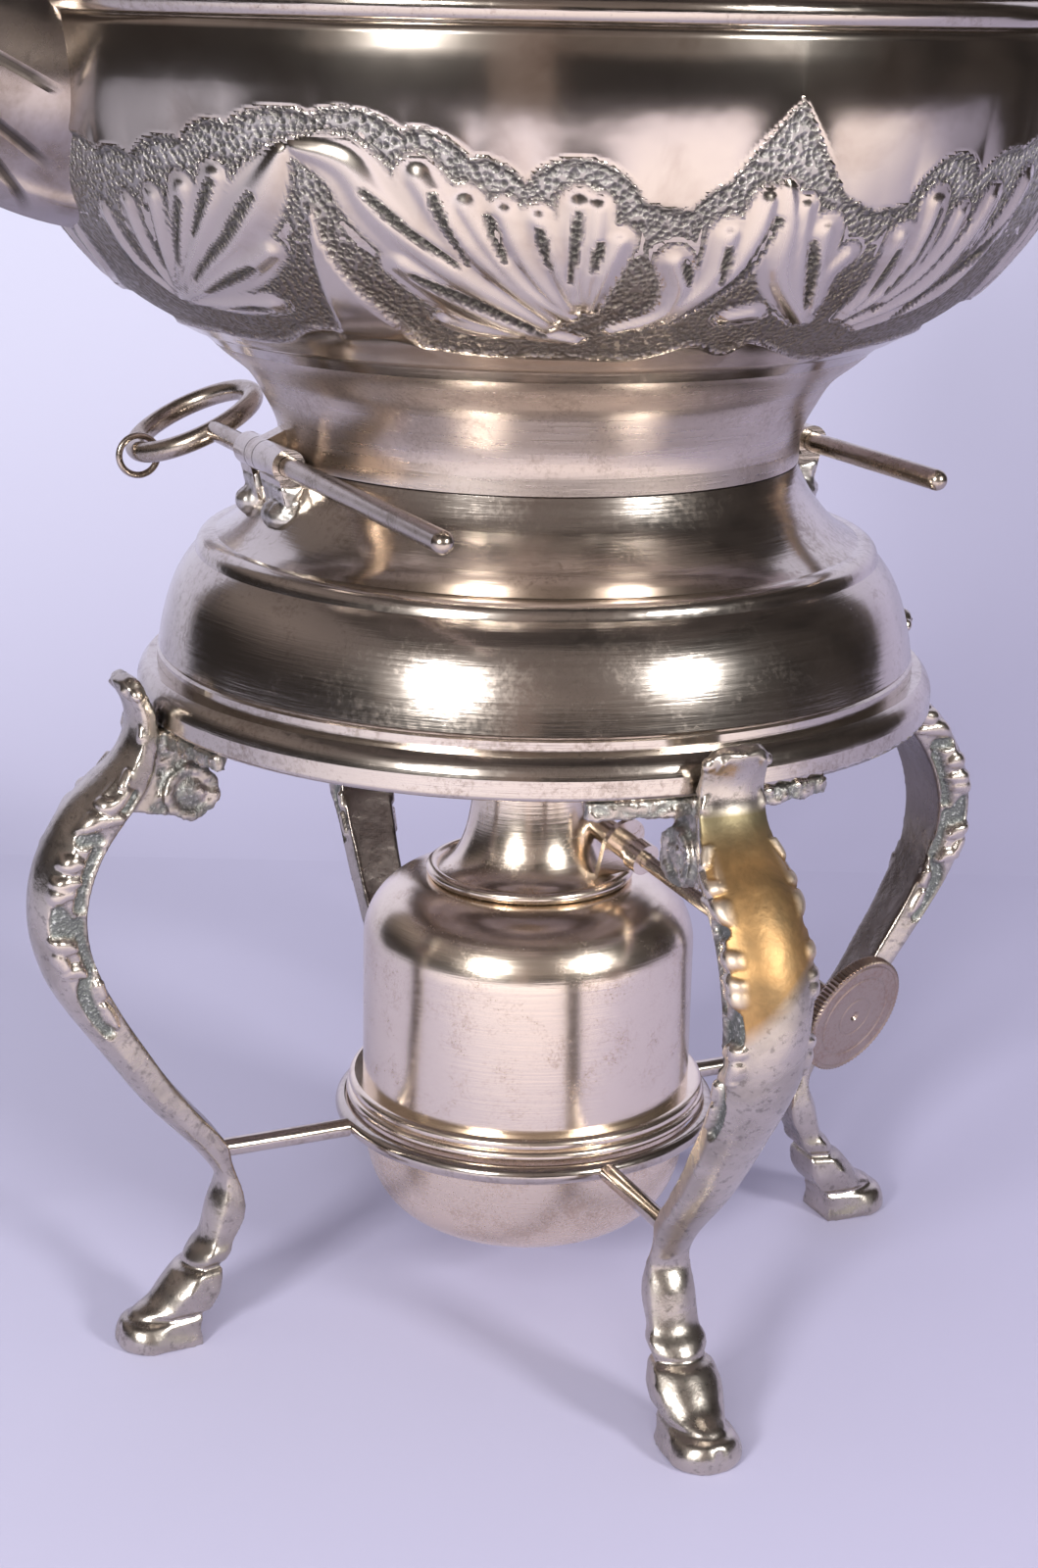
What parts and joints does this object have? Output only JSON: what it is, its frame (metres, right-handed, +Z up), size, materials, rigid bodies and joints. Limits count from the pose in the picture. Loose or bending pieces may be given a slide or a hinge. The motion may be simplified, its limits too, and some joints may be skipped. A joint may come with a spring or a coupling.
{
  "type": "spirit kettle on stand",
  "caption": "Tilting tea kettle with a swing bail, on a cabriole-legged stand, over a spirit burner with a wick winder.",
  "frame": {"origin": "on the floor at the stand's axis", "axes": "+Z up; the spout points along -X; both hinge pins lie along Y with their rings toward +Y; the legs stand on X and Y"},
  "size_m": [0.2541, 0.1992, 0.405],
  "materials": {
    "stand_plate": "worn polished plate, lightly tarnished",
    "cast_plate": "worn cast plate with dark recesses",
    "kettle_plate": "polished plate, chased band with dark ground",
    "wire_plate": "worn drawn wire",
    "burner_plate": "satin plate with a warm bloom",
    "grip_wood": "dark polished hardwood",
    "insulator_bone": "polished pale insulator",
    "wick_cotton": "braided cotton"
  },
  "bodies": {
    "stand": {"stand_dome": "stand_plate", "rim_band": "stand_plate", "leg_front": "cast_plate", "leg_right": "cast_plate", "leg_back": "cast_plate", "leg_left": "cast_plate", "strut_front": "stand_plate", "strut_right": "stand_plate", "strut_back": "stand_plate", "strut_left": "stand_plate", "cradle_ring": "stand_plate", "stand_knuckle_left_near": "stand_plate", "stand_knuckle_left_far": "stand_plate", "stand_knuckle_right_near": "stand_plate", "stand_knuckle_right_far": "stand_plate"},
    "kettle": {"kettle_bowl": "kettle_plate", "kettle_shoulder": "kettle_plate", "kettle_foot": "kettle_plate", "girdle_band": "kettle_plate", "mouth_collar": "kettle_plate", "spout": "kettle_plate", "kettle_knuckle_left": "kettle_plate", "kettle_hook_right": "kettle_plate", "bail_lug_front": "kettle_plate", "bail_lug_rear": "kettle_plate", "bail_rivet_front": "wire_plate", "bail_rivet_rear": "wire_plate", "lid_hinge_pin": "wire_plate"},
    "lid": {"lid": "kettle_plate", "lid_finial": "kettle_plate"},
    "bail": {"bail_arm_front": "wire_plate", "bail_arm_rear": "wire_plate", "bail_grip": "grip_wood", "bail_insulator_front": "insulator_bone", "bail_insulator_rear": "insulator_bone"},
    "left_pin": {"hinge_pin_left": "wire_plate"},
    "right_pin": {"hinge_pin_right": "wire_plate"},
    "jump_ring": {"jump_ring": "wire_plate"},
    "burner": {"burner_reservoir": "burner_plate", "burner_bowl": "burner_plate", "burner_flange": "burner_plate", "burner_cone": "burner_plate", "wick_tube": "burner_plate", "winder_bracket": "burner_plate", "winder_gland": "burner_plate"},
    "winder": {"winder_spindle": "wire_plate", "winder_disc": "wire_plate", "spur_wheel": "wire_plate"},
    "wick": {"wick": "wick_cotton"}
  },
  "joints": [
    {"name": "kettle_tilt", "type": "hinge", "parent": "stand", "child": "kettle", "pos_m": [-0.0519, 0, 0.17], "axis": [0, -1, 0], "range_deg": [0, 55]},
    {"name": "left_pin_pull", "type": "slide", "parent": "stand", "child": "left_pin", "axis": [0, 1, 0], "range_m": [0, 0.096]},
    {"name": "right_pin_pull", "type": "slide", "parent": "stand", "child": "right_pin", "axis": [0, 1, 0], "range_m": [0, 0.068]},
    {"name": "jump_ring_swing", "type": "hinge", "parent": "left_pin", "child": "jump_ring", "pos_m": [-0.06323, 0.0475, 0.16472], "axis": [0, 1, 0], "range_deg": [-60, 60]},
    {"name": "lid_hinge", "type": "hinge", "parent": "kettle", "child": "lid", "pos_m": [0.0425, 0, 0.3], "axis": [0, 1, 0], "range_deg": [0, 55]},
    {"name": "bail_swing", "type": "hinge", "parent": "kettle", "child": "bail", "pos_m": [0, 0, 0.29], "axis": [1, 0, 0], "range_deg": [-80, 80]},
    {"name": "burner_lift", "type": "slide", "parent": "stand", "child": "burner", "axis": [0, 0, 1], "range_m": [0, 0.028]},
    {"name": "winder_turn", "type": "hinge", "parent": "burner", "child": "winder", "pos_m": [0.00785, 0.00237, 0.09965], "axis": [0.2787, -0.9229, -0.2656], "range_deg": [-90, 180]},
    {"name": "wick_rise", "type": "slide", "parent": "burner", "child": "wick", "axis": [0, 0, 1], "range_m": [-0.0038, 0.0076]}
  ],
  "couplings": [
    {"joint": "wick_rise", "follows": "winder_turn", "m_per_rad": 0.0024}
  ]
}
